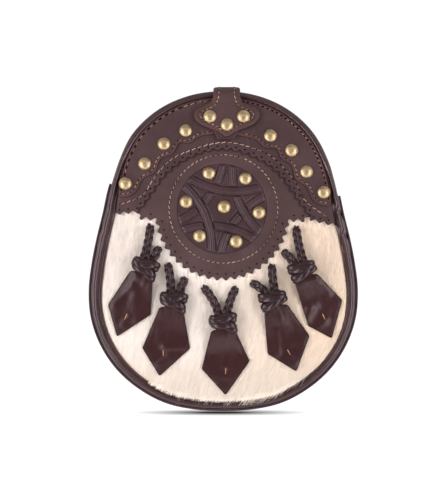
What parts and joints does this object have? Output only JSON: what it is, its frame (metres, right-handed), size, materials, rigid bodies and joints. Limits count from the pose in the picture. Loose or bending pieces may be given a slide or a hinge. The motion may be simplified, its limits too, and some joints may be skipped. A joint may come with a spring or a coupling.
{
  "type": "sporran pouch",
  "caption": "Flat-backed leather pouch worn at the waist, with a cowhide front, studded leather facings, a closing tab over its mouth and leather tassels.",
  "frame": {"origin": "centre of the footprint, on the surface that the pouch lies on, back down", "axes": "+Z out of the pouch's front, +Y towards its top and mouth, +X to the right seen from the front"},
  "size_m": [0.1792, 0.217, 0.0531],
  "materials": {
    "smooth_leather": "glossy, softly creased",
    "matt_leather": "satin, fine grain, tan stitching",
    "kite_leather": "glossy, oxblood brown",
    "braided_leather": "semi-gloss, plaited",
    "cowhide": "hair-on, short cream hair",
    "brass": "polished domes",
    "press_stud_metal": "satin"
  },
  "bodies": {
    "root": {"back_panel": "smooth_leather", "back_roll": "smooth_leather", "gusset": "smooth_leather", "front_roll": "smooth_leather", "strap_loop": "matt_leather", "round_facing": "matt_leather", "horseshoe_band": "matt_leather", "scalloped_yoke": "matt_leather", "embossed_disc": "matt_leather", "closing_tab": "matt_leather", "tab_tongue": "matt_leather", "hide_front": "cowhide", "press_stud": "press_stud_metal", "yoke_stud_1": "brass", "yoke_stud_2": "brass", "yoke_stud_3": "brass", "yoke_stud_4": "brass", "yoke_stud_5": "brass", "yoke_stud_6": "brass", "yoke_stud_7": "brass", "yoke_stud_8": "brass", "tab_stud_1": "brass", "tab_stud_2": "brass", "tab_stud_3": "brass", "disc_stud_1": "brass", "disc_stud_2": "brass", "disc_stud_3": "brass", "disc_stud_4": "brass", "disc_stud_5": "brass", "disc_stud_6": "brass", "disc_stud_7": "brass", "tassel_1_kite": "kite_leather", "tassel_2_kite": "kite_leather", "tassel_3_kite": "kite_leather", "tassel_4_kite": "kite_leather", "tassel_5_kite": "kite_leather", "tassel_1_knot": "braided_leather", "tassel_2_knot": "braided_leather", "tassel_3_knot": "braided_leather", "tassel_4_knot": "braided_leather", "tassel_5_knot": "braided_leather", "tassel_1_long_thong": "braided_leather", "tassel_1_short_thong": "braided_leather", "tassel_2_long_thong": "braided_leather", "tassel_2_short_thong": "braided_leather", "tassel_3_long_thong": "braided_leather", "tassel_3_short_thong": "braided_leather", "tassel_4_long_thong": "braided_leather", "tassel_4_short_thong": "braided_leather", "tassel_5_long_thong": "braided_leather", "tassel_5_short_thong": "braided_leather"}
  },
  "joints": []
}
